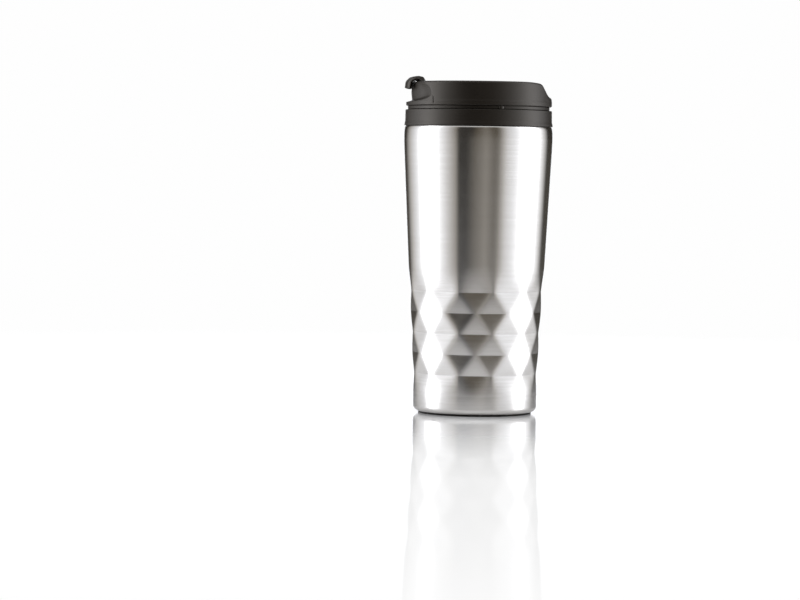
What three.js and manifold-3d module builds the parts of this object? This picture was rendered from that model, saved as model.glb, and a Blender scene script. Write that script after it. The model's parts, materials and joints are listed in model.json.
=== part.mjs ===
// Insulated travel tumbler: a faceted steel shell over a plastic liner, with a push-on lid whose
// drinking hole is closed by a flip flap.
//
// Frame: millimetres, +Z up, origin at the centre of the base on the table. The flap's finger tab is
// at -X and the open bowl of the lid is at +X.

import * as THREE from "three";
import { mergeVertices } from "three/addons/utils/BufferGeometryUtils.js";
import Module from "manifold-3d";

const wasm = await Module();
wasm.setup();

// ---------------------------------------------------------------- driving dimensions

const GAP = 0.3; // clearance between pieces that touch on the bench
const SIDES = 36; // sides of every turned piece

const SHELL_WALL = 0.7;
const BASE_RADIUS = 33.4;
const TAPER_START = 10.6; // the wall is upright below this height
const TAPER = 0.05; // growth of the radius with height
const TAPER_END = 142;
const SHOULDER = { z: 148.5, r: 40.15 };
const SHELL_TOP = 154.2;
const SHELL_TOP_RADIUS = 39.6;
const CORNER_RADIUS = 3.3;
const SHELL_BOTTOM = 1.2;
const BASE_OPENING = 28.5;

const FACET_COLUMNS = 12;
const FACET_TOP = 77;
const FACET_STEP = 11.07; // height of one row of triangles
const FACET_CREASES = 5;

const LINER_FLOOR = 8.5;
const LINER_BOTTOM_RADIUS = 30;
const LINER_WALL = 1.8;
const LINER_MOUTH = 36; // bore that the lid's seal runs in
const LINER_MOUTH_WALL = 1.2;
const LINER_SHOULDER = 148;
const LINER_TOP = 162.7;
const LINER_FLANGE = 38.3;

const COLLAR_BOTTOM = 154.5;
const COLLAR_TOP = 163;
const COLLAR_SKIRT_BOTTOM = 146.5;
const COLLAR_BORE = 37.5;
const GASKET_Z = 150;

const PAD_RADIUS = 30.5;
const PAD_HEIGHT = 0.9;

const NECK_BOTTOM = 163.3;
const NECK_TOP = 164.7;
const NECK_RADIUS = 37.9;
const PLUG_BORE = 31.6;
const PLUG_RADIUS = 33.2;
const PLUG_BOTTOM = 151.5;
const SEAL_FINS = [153.7, 156.7, 159.7];
const LUG_AZIMUTHS = [-72, 72]; // locating lugs on the neck, degrees from +X

const LID_BOTTOM = 165;
const LID_RIM = 178.6;
const DECK_TOP = 169;
const DECK_THICKNESS = 1.8;
const TAB_WALL_INNER = 33.8;
const TAB_WALL_TOP = 177.6;
const CHANNEL = { widest: 19, at: 6.8, fall: 0.003144 };
const BOWL_START = 4.2;
const BOWL_FLOOR = 164.8;
const POCKET_FLOOR = 158.2;
const POCKET_WALL = 1.6;
const BOWL_RADIUS = 34;
const MOUTH = { bottom: 170, halfBottom: 10.7, top: 177.5, halfTop: 17.8, from: 27 };
const SCOOP = { depthRadius: 36.4, centre: 7.3, bottom: 167.3 };

const HINGE = { x: 0.6, z: 173.9, barrel: 3.2, pin: 1, pinHalf: 21.3 };
const FLAP_GAP = 0.4; // side clearance of the flap in its channel
const FLAP_UNDERSIDE = 173.2;
const SIP_HOLE = { x: -21.5, rx: 4.6, ry: 8 };
const STOPPER = { bottom: 167.6, taper: 0.9 };

// ---------------------------------------------------------------- materials

function plastic(color, roughness) {
  return new THREE.MeshStandardMaterial({ color, roughness, metalness: 0 });
}

function metal(color, roughness) {
  return new THREE.MeshStandardMaterial({ color, roughness, metalness: 1 });
}

const brushedSteel = metal(0xb9b7b4, 0.3);
const pinSteel = metal(0xa8a8a8, 0.35);
const blackPlastic = plastic(0x2b2926, 0.5);
const linerPlastic = plastic(0x1f1e1c, 0.4);
const silicone = plastic(0x2a2522, 0.6);
const rubber = plastic(0x1a1918, 0.8);

// ---------------------------------------------------------------- solids from three.js geometry

function signedVolume(points, triangles) {
  const [a, b, c] = [new THREE.Vector3(), new THREE.Vector3(), new THREE.Vector3()];
  let sum = 0;
  for (let i = 0; i < triangles.length; i += 3) {
    a.fromArray(points, 3 * triangles[i]);
    b.fromArray(points, 3 * triangles[i + 1]);
    c.fromArray(points, 3 * triangles[i + 2]);
    sum += a.dot(b.cross(c)) / 6;
  }
  return sum;
}

// Merges the shared vertices, drops the empty triangles at a turned piece's poles and turns the
// faces outward.
function solid(geometry) {
  const bare = geometry.clone();
  bare.deleteAttribute("normal");
  bare.deleteAttribute("uv");
  const merged = mergeVertices(bare, 1e-3);
  const points = Float32Array.from(merged.attributes.position.array);
  const triangles = [];
  const index = merged.index.array;
  for (let i = 0; i < index.length; i += 3) {
    const [p, q, r] = [index[i], index[i + 1], index[i + 2]];
    if (p !== q && q !== r && r !== p) triangles.push(p, q, r);
  }
  if (signedVolume(points, triangles) < 0) triangles.reverse();
  const mesh = new wasm.Mesh({
    numProp: 3,
    vertProperties: points,
    triVerts: Uint32Array.from(triangles),
  });
  return new wasm.Manifold(mesh);
}

function named(name, body, material) {
  const out = body.getMesh();
  const geometry = new THREE.BufferGeometry();
  geometry.setAttribute("position", new THREE.BufferAttribute(out.vertProperties, 3));
  geometry.setIndex(new THREE.BufferAttribute(out.triVerts, 1));
  geometry.computeVertexNormals();
  const mesh = new THREE.Mesh(geometry, material);
  mesh.name = name;
  return mesh;
}

// A closed [radius, height] outline turned about Z. An outline that doesn't start on the axis is
// closed on itself.
function turned(outline, sides = SIDES) {
  const points = outline.map(([r, z]) => new THREE.Vector2(r, z));
  if (outline[0][0] > 0) points.push(points[0].clone());
  return solid(new THREE.LatheGeometry(points, sides).rotateX(Math.PI / 2));
}

// A plan outline of [x, y] pairs raised from one height to another.
function raised(outline, bottom, top) {
  const shape = new THREE.Shape(outline.map(([x, y]) => new THREE.Vector2(x, y)));
  const geometry = new THREE.ExtrudeGeometry(shape, { depth: top - bottom, bevelEnabled: false });
  return solid(geometry.translate(0, 0, bottom));
}

// A side outline of [x, z] pairs, given a width across Y.
function across(outline, halfWidth) {
  const shape = new THREE.Shape(outline.map(([x, z]) => new THREE.Vector2(x, z)));
  const geometry = new THREE.ExtrudeGeometry(shape, { depth: 2 * halfWidth, bevelEnabled: false });
  return solid(geometry.rotateX(Math.PI / 2).translate(0, halfWidth, 0));
}

function barAcross(radius, halfLength, x, z, sides = 24) {
  return solid(new THREE.CylinderGeometry(radius, radius, 2 * halfLength, sides).translate(x, 0, z));
}

function uprightCylinder(radius, bottom, top, x = 0) {
  return turned([[0, bottom], [radius, bottom], [radius, top], [0, top]]).translate([x, 0, 0]);
}

function oval(rx, ry, x, bottom, top, taper = 0) {
  const geometry = new THREE.CylinderGeometry(1, 1 - taper / rx, top - bottom, 32);
  geometry.rotateX(Math.PI / 2).scale(rx, ry, 1);
  return solid(geometry.translate(x, 0, (bottom + top) / 2));
}

function ring(radius, thickness, z) {
  return solid(new THREE.TorusGeometry(radius, thickness / 2, 8, SIDES).translate(0, 0, z));
}

// Points of a quarter round that starts level at `from` degrees.
function arc(centre, radius, from, to, steps) {
  return Array.from({ length: steps + 1 }, (_, i) => {
    const angle = THREE.MathUtils.degToRad(from + ((to - from) * i) / steps);
    return [centre[0] + radius * Math.cos(angle), centre[1] + radius * Math.sin(angle)];
  });
}

function box(x0, x1, y0, y1, z0, z1) {
  const geometry = new THREE.BoxGeometry(x1 - x0, y1 - y0, z1 - z0);
  return solid(geometry.translate((x0 + x1) / 2, (y0 + y1) / 2, (z0 + z1) / 2));
}

// ---------------------------------------------------------------- steel shell

function shellRadius(z) {
  const height = THREE.MathUtils.clamp(z, TAPER_START, TAPER_END);
  return BASE_RADIUS + TAPER * (height - TAPER_START);
}

// One ring of corner points at a height. `turn` is in facet columns.
function ringPoints(radius, z, count, turn = 0) {
  return Array.from({ length: count }, (_, i) => {
    const angle = ((i / count) * 2 + (turn * 2) / FACET_COLUMNS) * Math.PI;
    return [radius * Math.sin(angle), -radius * Math.cos(angle), z];
  });
}

// Joins two rings that may have different numbers of corners, always by the shorter diagonal in
// azimuth, so two rings half a column apart give the alternating triangles of a folded band.
function band(lower, upper, triangles, points) {
  const turnOf = (corners, i) => {
    const start = Math.atan2(corners[0][0], -corners[0][1]);
    return start + (i / corners.length) * 2 * Math.PI;
  };
  const firstLower = points.length;
  points.push(...lower);
  const firstUpper = points.length;
  points.push(...upper);
  let i = 0;
  let j = 0;
  while (i < lower.length || j < upper.length) {
    const p = firstLower + (i % lower.length);
    const q = firstUpper + (j % upper.length);
    const lowerIsNext = turnOf(lower, i + 1) <= turnOf(upper, j + 1);
    const stepLower = i < lower.length && (j >= upper.length || lowerIsNext);
    if (stepLower) {
      triangles.push(p, firstLower + ((i + 1) % lower.length), q);
      i += 1;
    } else {
      triangles.push(p, firstUpper + ((j + 1) % upper.length), q);
      j += 1;
    }
  }
}

// The shell's rings, from the rim of the base opening up to the top edge, drawn in by `inset`.
function shellRings(inset) {
  const rings = [ringPoints(BASE_OPENING, SHELL_BOTTOM + inset, SIDES)];
  const corner = [BASE_RADIUS - CORNER_RADIUS, SHELL_BOTTOM + CORNER_RADIUS];
  for (const [r, z] of arc(corner, CORNER_RADIUS - inset, -90, 0, 4)) {
    rings.push(ringPoints(r, z, SIDES));
  }
  for (let row = FACET_CREASES + 1; row >= 0; row -= 1) {
    const z = FACET_TOP - row * FACET_STEP;
    const folded = row > 0 && row <= FACET_CREASES;
    const count = folded ? FACET_COLUMNS : SIDES;
    rings.push(ringPoints(shellRadius(z) - inset, z, count, folded && row % 2 ? 0.5 : 0));
  }
  rings.push(ringPoints(shellRadius(TAPER_END) - inset, TAPER_END, SIDES));
  rings.push(ringPoints(SHOULDER.r - inset, SHOULDER.z, SIDES));
  rings.push(ringPoints(SHELL_TOP_RADIUS - inset, SHELL_TOP, SIDES));
  return rings;
}

function outerShell() {
  const points = [];
  const triangles = [];
  const loop = [...shellRings(0), ...shellRings(SHELL_WALL).reverse()];
  loop.forEach((lower, i) => band(lower, loop[(i + 1) % loop.length], triangles, points));
  const geometry = new THREE.BufferGeometry();
  geometry.setAttribute("position", new THREE.Float32BufferAttribute(points.flat(), 3));
  geometry.setIndex(triangles);
  return solid(geometry);
}

// ---------------------------------------------------------------- the rest of the mug

function innerLiner() {
  const outerTop = LINER_MOUTH + LINER_MOUTH_WALL;
  const neck = LINER_SHOULDER - 6;
  const outerAt = (z) => LINER_BOTTOM_RADIUS + TAPER * (z - LINER_FLOOR);
  return turned([
    [0, LINER_FLOOR - LINER_WALL],
    [LINER_BOTTOM_RADIUS - 2, LINER_FLOOR - LINER_WALL],
    [LINER_BOTTOM_RADIUS, LINER_FLOOR + 0.6],
    [outerAt(neck), neck],
    [outerTop, LINER_SHOULDER - 3],
    [outerTop, LINER_TOP - 1.5],
    [LINER_FLANGE, LINER_TOP - 1.5],
    [LINER_FLANGE, LINER_TOP - 0.3],
    [LINER_FLANGE - 0.3, LINER_TOP],
    [LINER_MOUTH + 0.5, LINER_TOP],
    [LINER_MOUTH, LINER_TOP - 0.5],
    [LINER_MOUTH, LINER_SHOULDER],
    [outerAt(neck) - LINER_WALL, neck],
    [LINER_BOTTOM_RADIUS - LINER_WALL, LINER_FLOOR + 3],
    [LINER_BOTTOM_RADIUS - LINER_WALL - 3, LINER_FLOOR],
    [0, LINER_FLOOR],
  ]);
}

function collar() {
  const grooveFloor = COLLAR_BORE + 0.8;
  const skirt = COLLAR_BORE + 1.4;
  const seat = LINER_TOP - 1.5 - GAP;
  return turned([
    [COLLAR_BORE, COLLAR_SKIRT_BOTTOM],
    [skirt, COLLAR_SKIRT_BOTTOM],
    [skirt, GASKET_Z - 0.9],
    [grooveFloor, GASKET_Z - 0.9],
    [grooveFloor, GASKET_Z + 0.9],
    [skirt, GASKET_Z + 0.9],
    [skirt, COLLAR_BOTTOM],
    [39.8, COLLAR_BOTTOM],
    [40, COLLAR_BOTTOM + 0.3],
    [39.6, COLLAR_BOTTOM + 1.8],
    [39.45, COLLAR_BOTTOM + 4.5],
    [39.45, COLLAR_TOP - 0.5],
    [39.1, COLLAR_TOP],
    [LINER_FLANGE + GAP, COLLAR_TOP],
    [LINER_FLANGE + GAP, seat],
    [COLLAR_BORE, seat],
  ]);
}

function shellGasket() {
  const inner = COLLAR_BORE + 0.8 + GAP;
  const outer = SHOULDER.r - SHELL_WALL - GAP;
  const half = 0.6;
  return turned([
    [inner, GASKET_Z - half],
    [outer, GASKET_Z - half / 2],
    [outer, GASKET_Z + half / 2],
    [inner, GASKET_Z + half],
  ]);
}

function baseCap() {
  const flangeBottom = 3.2;
  return turned([
    [0, SHELL_BOTTOM],
    [BASE_OPENING - GAP, SHELL_BOTTOM],
    [BASE_OPENING - GAP, flangeBottom],
    [BASE_OPENING + 2.4, flangeBottom],
    [BASE_OPENING + 2.4, flangeBottom + 1.4],
    [BASE_OPENING - 2, flangeBottom + 1.4],
    [BASE_OPENING - 3, flangeBottom],
    [0, flangeBottom - 0.2],
  ]);
}

function baseGasket() {
  return ring(BASE_OPENING + 1.3, 0.7, 2.55);
}

function footPad() {
  return turned([
    [0, 0],
    [PAD_RADIUS - 0.2, 0],
    [PAD_RADIUS, 0.2],
    [PAD_RADIUS, PAD_HEIGHT],
    [0, PAD_HEIGHT],
  ]);
}

// ---------------------------------------------------------------- lid

function channelHalfWidth(x) {
  return CHANNEL.widest - CHANNEL.fall * (x - CHANNEL.at) ** 2;
}

// Plan outline of the barrel-shaped channel, drawn in or out by `offset`.
function channelPlan(from, to, offset = 0, steps = 16) {
  const xs = Array.from({ length: steps + 1 }, (_, i) => from + ((to - from) * i) / steps);
  const right = xs.map((x) => [x, -channelHalfWidth(x) - offset]);
  const left = xs.map((x) => [x, channelHalfWidth(x) + offset]).reverse();
  return [...right, ...left];
}

// Outer wall, rounded rim and the shallow dish inside it, as one turned block.
function lidBlank() {
  return turned([
    [0, LID_BOTTOM],
    [38.8, LID_BOTTOM],
    [39.15, LID_BOTTOM + 0.4],
    [39.1, LID_BOTTOM + 1.9],
    [38.8, LID_BOTTOM + 3],
    [38.25, LID_RIM - 2],
    [37.8, LID_RIM - 0.6],
    [36.9, LID_RIM],
    [36.1, LID_RIM - 0.1],
    [35.4, LID_RIM - 0.9],
    [34.6, LID_RIM - 3],
    [32, LID_RIM - 4],
    [27, LID_RIM - 4.2],
    [22, LID_RIM - 3.4],
    [18, LID_RIM - 2.7],
    [0, LID_RIM - 2.7],
  ]);
}

// Everything above the bowl's floor: a round drinking lip outside, falling inward to the pocket.
function bowlSpace() {
  return turned([
    [0, BOWL_FLOOR],
    [21, BOWL_FLOOR],
    [26, BOWL_FLOOR + 0.8],
    [30, BOWL_FLOOR + 2.2],
    [34, BOWL_FLOOR + 4.2],
    [36.4, 169.8],
    [37.6, 169.95],
    [38.6, 169.4],
    [39.3, 168],
    [46, 168],
    [46, 186],
    [0, 186],
  ]);
}

function mouthSpace() {
  const { bottom, halfBottom, top, halfTop, from } = MOUTH;
  const slope = (halfTop - halfBottom) / (top - bottom);
  const half = (z) => halfBottom + slope * (z - bottom);
  const section = [
    [-half(160), 160],
    [half(160), 160],
    [half(186), 186],
    [-half(186), 186],
  ].map(([y, z]) => new THREE.Vector2(-z, y));
  const geometry = new THREE.ExtrudeGeometry(new THREE.Shape(section), {
    depth: 46 - from,
    bevelEnabled: false,
  });
  return solid(geometry.rotateY(Math.PI / 2).translate(from, 0, 0));
}

function pocketPlan(offset) {
  return [
    [BOWL_START - offset, -16 - offset],
    [15, -14 - offset],
    [22.7 + offset, -8.5 - offset],
    [22.7 + offset, 8.5 + offset],
    [15, 14 + offset],
    [BOWL_START - offset, 16 + offset],
  ];
}

// Hollow under one crescent, which keeps the moulding's walls even.
function crescentHollow() {
  const roof = LID_RIM - 6.2;
  const disc = uprightCylinder(36, LID_BOTTOM - 1, roof);
  return disc.subtract(raised(channelPlan(-40, 40, 2), LID_BOTTOM - 2, roof + 1));
}

function lidShell() {
  const top = 186;
  const tabSide = channelPlan(-40, BOWL_START);
  const channel = raised(tabSide, DECK_TOP, top).intersect(uprightCylinder(TAB_WALL_INNER, 160, 190));
  const tabNotch = raised(channelPlan(-45, 0), TAB_WALL_TOP, top);
  const bowlChannel = raised(channelPlan(BOWL_START, 40), 150, top)
    .intersect(uprightCylinder(BOWL_RADIUS, 150, top));
  const bowlWindow = bowlChannel.add(mouthSpace());
  const bowl = bowlSpace().intersect(bowlWindow);
  const pocket = raised(pocketPlan(0), POCKET_FLOOR, 168);
  const tub = raised(pocketPlan(POCKET_WALL), POCKET_FLOOR - POCKET_WALL, 168);
  const skinStart = BOWL_START - DECK_THICKNESS;
  const inPlug = uprightCylinder(PLUG_BORE - 0.6, 160, DECK_TOP - DECK_THICKNESS);
  const underside = inPlug.intersect(box(-40, skinStart, -40, 40, 160, 180));
  const bowlSkin = inPlug.intersect(box(skinStart, 40, -40, 40, BOWL_FLOOR - DECK_THICKNESS, 180));
  const scoopInner = SCOOP.centre + SCOOP.depthRadius;
  const scoop = uprightCylinder(70, SCOOP.bottom, top)
    .subtract(uprightCylinder(scoopInner, 160, 190, SCOOP.centre))
    .intersect(box(-80, 0, -80, 80, 160, 190));
  const sipHole = oval(SIP_HOLE.rx, SIP_HOLE.ry, SIP_HOLE.x, 160, DECK_TOP + 1);
  const pinBore = barAcross(HINGE.pin + GAP, HINGE.pinHalf + GAP, HINGE.x, HINGE.z);
  return lidBlank()
    .subtract(crescentHollow())
    .subtract(underside)
    .add(bowlSkin)
    .add(tub)
    .subtract(channel)
    .subtract(tabNotch)
    .subtract(bowl)
    .subtract(pocket)
    .subtract(scoop)
    .subtract(sipHole)
    .subtract(pinBore);
}

function lidPlug() {
  const body = turned([
    [PLUG_BORE, PLUG_BOTTOM],
    [PLUG_RADIUS + 1, PLUG_BOTTOM],
    [PLUG_RADIUS + 1, PLUG_BOTTOM + 0.8],
    [PLUG_RADIUS, PLUG_BOTTOM + 0.8],
    [PLUG_RADIUS, NECK_BOTTOM],
    [NECK_RADIUS - 0.3, NECK_BOTTOM],
    [NECK_RADIUS, NECK_BOTTOM + 0.3],
    [NECK_RADIUS, NECK_TOP - 0.2],
    [NECK_RADIUS - 0.2, NECK_TOP],
    [PLUG_BORE, NECK_TOP],
  ]);
  const lug = box(NECK_RADIUS - 2, NECK_RADIUS + 0.7, -1.1, 1.1, NECK_BOTTOM + 0.2, NECK_TOP - 0.1);
  return LUG_AZIMUTHS.reduce((plug, azimuth) => plug.add(lug.rotate([0, 0, azimuth])), body);
}

function lidSeal() {
  const inner = PLUG_RADIUS + GAP;
  const root = inner + 0.8;
  const tip = LINER_MOUTH - GAP;
  const fins = SEAL_FINS.flatMap((z) => [[root, z - 0.6], [tip, z], [tip, z + 0.3], [root, z + 0.6]]);
  const bottom = PLUG_BOTTOM + 0.8 + GAP;
  return turned([[inner, bottom], [root, bottom], ...fins, [root, 161.5], [inner, 161.5]]);
}

// ---------------------------------------------------------------- flap

// The tongue's side view, from the hinge barrel out to the foot of the finger tab.
const TONGUE = [
  [HINGE.x, FLAP_UNDERSIDE],
  [HINGE.x, 177],
  [-1, 176.6],
  [-3.4, 175.3],
  [-8, 174.8],
  [-15, 174.8],
  [-20, 175.3],
  [-23.5, 176.2],
  [-27, 176],
  [-31.8, 176],
  [-31.8, FLAP_UNDERSIDE],
];

// Section of the finger tab: up over the lid's wall and down outside it.
const TAB = [
  [28.6, FLAP_UNDERSIDE],
  [31.8, FLAP_UNDERSIDE],
  [31.8, 176.8],
  [32.6, 178.3],
  [34, 178.8],
  [35.8, 178.6],
  [37.1, 177.6],
  [37.7, 176],
  [38, 174],
  [40, 174],
  [39.7, 176.3],
  [38.8, 178.6],
  [36.8, 180.1],
  [33.9, 180.8],
  [31.5, 180.7],
  [30.1, 179.7],
  [29.5, 178.5],
  [28.6, 176],
];

function flap() {
  const plan = raised(channelPlan(-45, HINGE.x + HINGE.barrel + 1, -FLAP_GAP), 160, 190);
  const tabPlan = raised(channelPlan(-45, -20, -FLAP_GAP), 160, 190);
  const tongueEnd = uprightCylinder(31.8, 160, 190);
  const halfWidth = CHANNEL.widest + 1;
  const barrel = barAcross(HINGE.barrel, halfWidth, HINGE.x, HINGE.z, 32);
  const tongue = across(TONGUE, halfWidth).intersect(tongueEnd).add(barrel).intersect(plan);
  const tab = turned(TAB).intersect(tabPlan);
  return tongue.add(tab).subtract(barAcross(HINGE.pin + GAP, halfWidth + 1, HINGE.x, HINGE.z));
}

function flapStopper() {
  const { x, rx, ry } = SIP_HOLE;
  const plug = oval(rx - GAP, ry - GAP, x, STOPPER.bottom, DECK_TOP, STOPPER.taper);
  const head = oval(rx + 1.2, ry + 1.2, x, DECK_TOP + GAP, FLAP_UNDERSIDE - GAP);
  const waist = oval(rx - GAP - 0.1, ry - GAP - 0.1, x, DECK_TOP - 0.2, DECK_TOP + GAP + 0.2);
  return plug.add(waist).add(head);
}

function flapHingePin() {
  return barAcross(HINGE.pin, HINGE.pinHalf, HINGE.x, HINGE.z, 16);
}

// ---------------------------------------------------------------- assembly

const mug = new THREE.Group();
mug.add(
  named("outer_shell", outerShell(), brushedSteel),
  named("inner_liner", innerLiner(), linerPlastic),
  named("collar", collar(), blackPlastic),
  named("shell_gasket", shellGasket(), silicone),
  named("base_cap", baseCap(), blackPlastic),
  named("base_gasket", baseGasket(), silicone),
  named("foot_pad", footPad(), rubber),
);

const lid = new THREE.Group();
lid.add(
  named("lid_shell", lidShell(), blackPlastic),
  named("lid_plug", lidPlug(), blackPlastic),
  named("lid_seal", lidSeal(), silicone),
  named("flap_hinge_pin", flapHingePin(), pinSteel),
);

const flapGroup = new THREE.Group();
flapGroup.add(
  named("flap", flap(), blackPlastic),
  named("flap_stopper", flapStopper(), silicone),
);

const assembly = new THREE.Group();
assembly.add(mug, lid, flapGroup);

export default assembly;
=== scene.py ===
"""Insulated tumbler with a faceted steel body: the fine surfaces, finishes and studio.

Lengths of pieces are in millimetres until add_mesh() turns them to metres, and the studio is in
metres. Heights are above the table, and the finger tab of the flap is at -X.
"""

import json
import math

import bpy
import numpy as np
from bpy.props import FloatProperty, PointerProperty, StringProperty
from mathutils import Matrix, Vector


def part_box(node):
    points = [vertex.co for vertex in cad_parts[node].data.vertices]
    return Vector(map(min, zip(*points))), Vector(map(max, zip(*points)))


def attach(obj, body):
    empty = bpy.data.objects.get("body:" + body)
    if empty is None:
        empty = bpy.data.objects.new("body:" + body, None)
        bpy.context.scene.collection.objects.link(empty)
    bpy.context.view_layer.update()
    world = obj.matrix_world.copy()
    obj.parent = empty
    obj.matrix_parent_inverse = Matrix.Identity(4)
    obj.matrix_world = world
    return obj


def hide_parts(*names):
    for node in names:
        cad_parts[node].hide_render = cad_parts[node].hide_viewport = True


bl_info = {
    "name": "Faceted Travel Tumbler",
    "version": (1, 0, 0),
    "blender": (4, 5, 0),
    "location": "View3D > Sidebar > Tumbler",
    "description": "Builds a double-wall tumbler with a pressed facet band and a flip-flap lid",
    "category": "Add Mesh",
}

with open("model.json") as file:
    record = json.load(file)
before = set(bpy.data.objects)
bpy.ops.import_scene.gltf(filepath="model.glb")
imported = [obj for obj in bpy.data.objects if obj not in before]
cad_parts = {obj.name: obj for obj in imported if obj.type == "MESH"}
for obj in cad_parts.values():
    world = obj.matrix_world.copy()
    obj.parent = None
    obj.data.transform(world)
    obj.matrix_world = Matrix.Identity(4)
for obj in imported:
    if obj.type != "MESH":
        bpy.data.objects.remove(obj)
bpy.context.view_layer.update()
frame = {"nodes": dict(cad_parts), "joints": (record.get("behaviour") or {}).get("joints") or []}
MM = 0.001


def node_mm(name):
    """Lowest and highest corner of a frame node, in millimetres."""
    low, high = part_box(name)
    return low / MM, high / MM


# ------------------------------------------------------------------ sizes taken from the frame

SHELL_LOW, SHELL_HIGH = node_mm("outer_shell")
COLLAR_LOW, COLLAR_HIGH = node_mm("collar")
PLUG_LOW, PLUG_HIGH = node_mm("lid_plug")
LINER_LOW, LINER_HIGH = node_mm("inner_liner")
PAD_HIGH = node_mm("foot_pad")[1]
PIN_LOW, PIN_HIGH = node_mm("flap_hinge_pin")
STOPPER_LOW, STOPPER_HIGH = node_mm("flap_stopper")
SEAL_LOW, SEAL_HIGH = node_mm("lid_seal")
HINGE_AXIS = next(j for j in frame["joints"] if j["name"] == "flap_hinge")["pos_m"]
HINGE_X = HINGE_AXIS[0] / MM
HINGE_Z = HINGE_AXIS[2] / MM

LID_BOTTOM = 165.0
RIM = 177.9


# ------------------------------------------------------------------ small curve tools


def smooth(edge0, edge1, x):
    """0 before edge0, 1 after edge1, and the cubic 3t^2 - 2t^3 between them."""
    t = np.clip((x - edge0) / (edge1 - edge0), 0.0, 1.0)
    return t * t * (3.0 - 2.0 * t)


def soft_min(a, b, width):
    """The smaller of a and b, with the corner between them rounded over about width."""
    h = np.clip(0.5 + 0.5 * (b - a) / width, 0.0, 1.0)
    return b + (a - b) * h - width * h * (1.0 - h)


def hermite(points, x):
    """Monotone cubic through (x, y) points: Hermite pieces whose slopes are the harmonic mean of
    the neighbouring chord slopes, and 0 where the chords change direction."""
    knots, values = np.array(points, float).T
    chord = np.diff(values) / np.diff(knots)
    slope = np.empty_like(values)
    slope[0], slope[-1] = chord[0], chord[-1]
    same = chord[:-1] * chord[1:] > 0
    mean = np.zeros(len(chord) - 1)
    mean[same] = 2.0 * chord[:-1][same] * chord[1:][same] / (chord[:-1] + chord[1:])[same]
    slope[1:-1] = mean
    x = np.clip(x, knots[0], knots[-1])
    i = np.clip(np.searchsorted(knots, x) - 1, 0, len(chord) - 1)
    step = knots[i + 1] - knots[i]
    t = (x - knots[i]) / step
    return (
        values[i] * (1 + 2 * t) * (1 - t) ** 2
        + values[i + 1] * t * t * (3 - 2 * t)
        + step * (slope[i] * t * (1 - t) ** 2 - slope[i + 1] * t * t * (1 - t))
    )


def rounded(corners, steps=5):
    """A [radius, height, rounding] outline with each corner replaced by an arc of that rounding:
    the arc touches both edges, and its points are spaced evenly in angle."""
    count = len(corners)
    points = []
    for i, (r, z, fillet) in enumerate(corners):
        here = np.array([r, z], float)
        before = np.array(corners[i - 1][:2], float) - here
        after = np.array(corners[(i + 1) % count][:2], float) - here
        long_before, long_after = np.linalg.norm(before), np.linalg.norm(after)
        if fillet <= 0 or min(long_before, long_after) == 0:
            points.append(here)
            continue
        u, v = before / long_before, after / long_after
        half = math.acos(float(np.clip(u @ v, -1, 1))) / 2
        if half > math.pi / 2 - 0.02:
            points.append(here)
            continue
        reach = min(fillet / math.tan(half), 0.49 * long_before, 0.49 * long_after)
        radius = reach * math.tan(half)
        middle = here + (u + v) / np.linalg.norm(u + v) * math.hypot(reach, radius)
        start = here + u * reach - middle
        sweep = math.pi - 2 * half
        turn = math.copysign(1, start[0] * (here - middle)[1] - start[1] * (here - middle)[0])
        for k in range(steps + 1):
            a = turn * sweep * k / steps
            spin = np.array([[math.cos(a), -math.sin(a)], [math.sin(a), math.cos(a)]])
            points.append(middle + spin @ start)
    return np.array(points)


# ------------------------------------------------------------------ meshes


def add_object(name, data):
    """An object in the scene, from its mesh or camera data."""
    made = bpy.data.objects.new(name, data)
    bpy.context.scene.collection.objects.link(made)
    return made


def add_mesh(name, vertices, faces):
    """A mesh object in the scene, from millimetre vertices and a list of faces."""
    mesh = bpy.data.meshes.new(name)
    mesh.from_pydata((np.asarray(vertices) * MM).tolist(), [], faces)
    return add_object(name, mesh)


def build_mesh(name, vertices, faces, material, body, replaced):
    """A smooth-shaded piece from millimetre vertices and a list of faces, given to the frame."""
    piece = add_mesh(name, vertices, faces)
    piece.data.validate()
    piece.data.update()
    piece.data.shade_smooth()
    piece.data.materials.append(material)
    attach(piece, body)
    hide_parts(*replaced)
    return piece


def grid_faces(rows, columns, wrap_rows=False, wrap_columns=True, first=0):
    """Quads of a rows x columns vertex grid, closed on itself where asked."""
    i = np.arange(rows if wrap_rows else rows - 1)
    j = np.arange(columns if wrap_columns else columns - 1)
    i, j = (a.ravel() for a in np.meshgrid(i, j, indexing="ij"))
    down, right = (i + 1) % rows, (j + 1) % columns
    quads = np.stack([i * columns + j, i * columns + right, down * columns + right, down * columns + j], 1)
    return (quads + first).tolist()


def pole_faces(ring_start, columns, pole, flip):
    """Triangles from one ring to a single pole vertex."""
    j = np.arange(columns)
    right = (j + 1) % columns
    ring = ring_start + (np.stack([right, j], 1) if flip else np.stack([j, right], 1))
    return np.column_stack([ring, np.full(columns, pole)]).tolist()


def close_ends(vertices, faces, columns, first_pole, last_pole):
    """Closes a tube of rings with a pole vertex at each end."""
    count = len(vertices)
    faces += pole_faces(0, columns, count, flip=True)
    faces += pole_faces(count - columns, columns, count + 1, flip=False)
    vertices = np.vstack([vertices, first_pole, last_pole])
    return vertices, outward(vertices, faces)


def ring_points(radius, angle, height):
    """Vertices of rings about Z, with angles from the -Y side towards +X."""
    x, y = radius * np.sin(angle), -radius * np.cos(angle)
    return np.stack([x, y, height + 0 * x], -1).reshape(-1, 3)


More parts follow.
